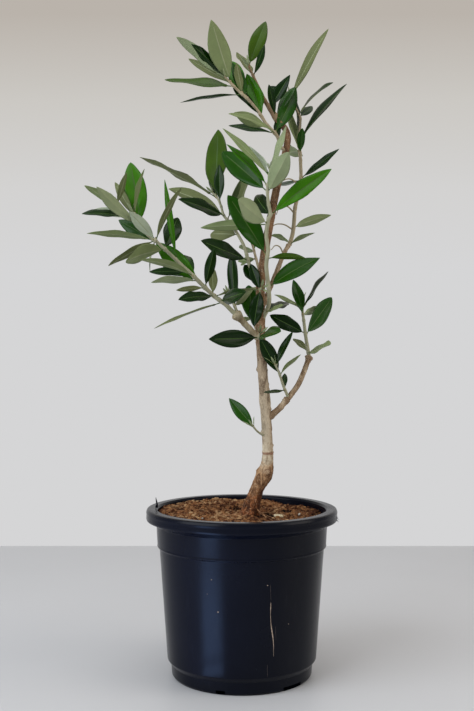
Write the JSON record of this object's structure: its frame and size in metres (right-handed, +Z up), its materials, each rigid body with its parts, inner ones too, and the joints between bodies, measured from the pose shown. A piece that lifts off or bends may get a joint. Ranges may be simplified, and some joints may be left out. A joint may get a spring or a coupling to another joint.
{
  "type": "potted olive tree",
  "caption": "Young olive tree with a slim crooked trunk and an open crown of narrow leaves, in a round plastic nursery pot filled with soil",
  "frame": {"origin": "centre of the pot's flat underside", "axes": "+Z up along the tree, +Y away from the front, +X to the right seen from the front"},
  "size_m": [0.254, 0.198, 0.658],
  "materials": {
    "pot_plastic": "black moulded plastic with a soft satin sheen",
    "soil": "rough damp potting mix with coir and bark crumbs",
    "bark": "grey-brown young olive bark, smooth above and rough at the foot",
    "foliage": "leathery narrow leaves, dark green above and silver green below"
  },
  "bodies": {
    "root": {"pot": "pot_plastic", "soil": "soil", "trunk": "bark", "left_bough": "bark", "right_bough": "bark", "right_bough_end": "bark", "back_bough": "bark", "top_leaves": "foliage", "upper_left_leaves": "foliage", "upper_right_leaves": "foliage", "front_leaves": "foliage", "middle_left_leaves": "foliage", "left_knob_leaves": "foliage", "left_spray_leaves": "foliage", "trunk_upper_leaves": "foliage", "trunk_middle_leaves": "foliage", "trunk_lower_leaf": "foliage", "back_upper_leaves": "foliage", "back_lower_leaves": "foliage", "right_leaves": "foliage", "right_twig_leaves": "foliage"}
  },
  "joints": []
}
